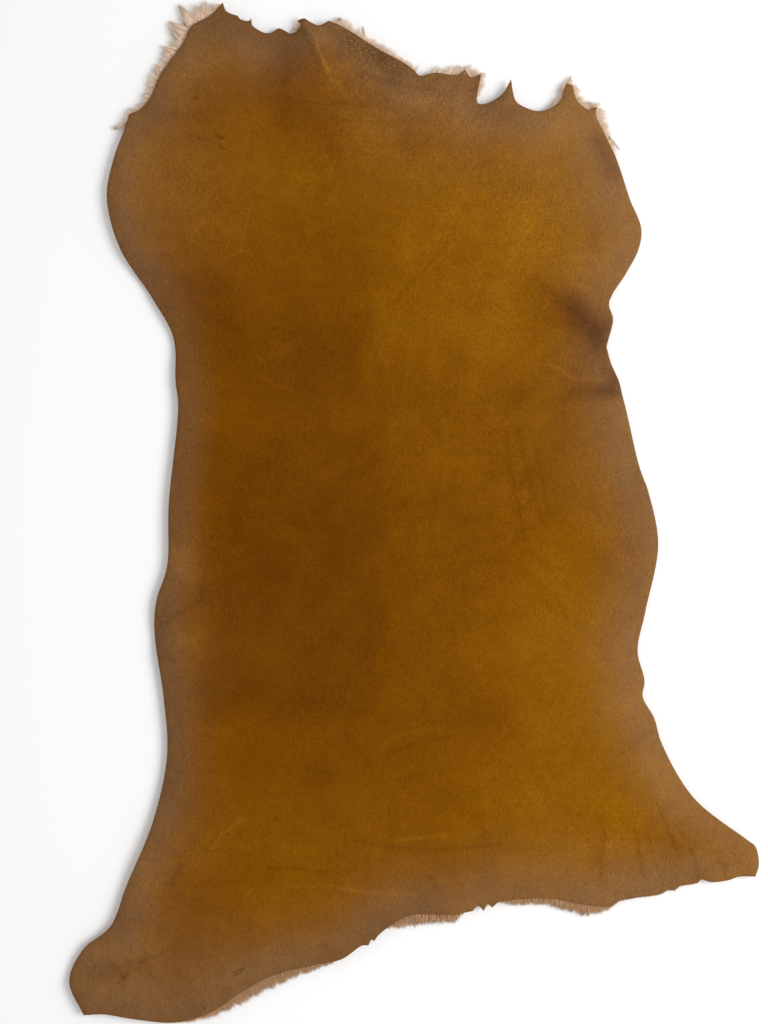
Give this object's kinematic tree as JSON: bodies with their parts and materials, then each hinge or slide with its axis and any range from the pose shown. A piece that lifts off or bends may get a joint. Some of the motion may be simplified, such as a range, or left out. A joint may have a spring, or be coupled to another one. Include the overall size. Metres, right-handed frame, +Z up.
{
  "type": "shearling sheepskin",
  "caption": "Flat tanned sheepskin with the wool left on, lying wool side down with its suede side up; a hide outline with ragged neck and flared hind legs.",
  "frame": {"origin": "middle of the base: below the middle of the bounding box, on the surface that the wool rests on", "axes": "+X to the right seen from above with the neck away, +Y from the hind legs to the neck, +Z up through the suede side"},
  "size_m": [0.802, 1.1848, 0.0219],
  "materials": {
    "suede": "ochre-brown suede, matt with a fine nap, greyer and pinker towards the cut edge",
    "wool": "cream to beige sheep's wool in soft curly locks, matt"
  },
  "bodies": {
    "root": {"skin": "suede", "fleece": "wool"}
  },
  "joints": []
}
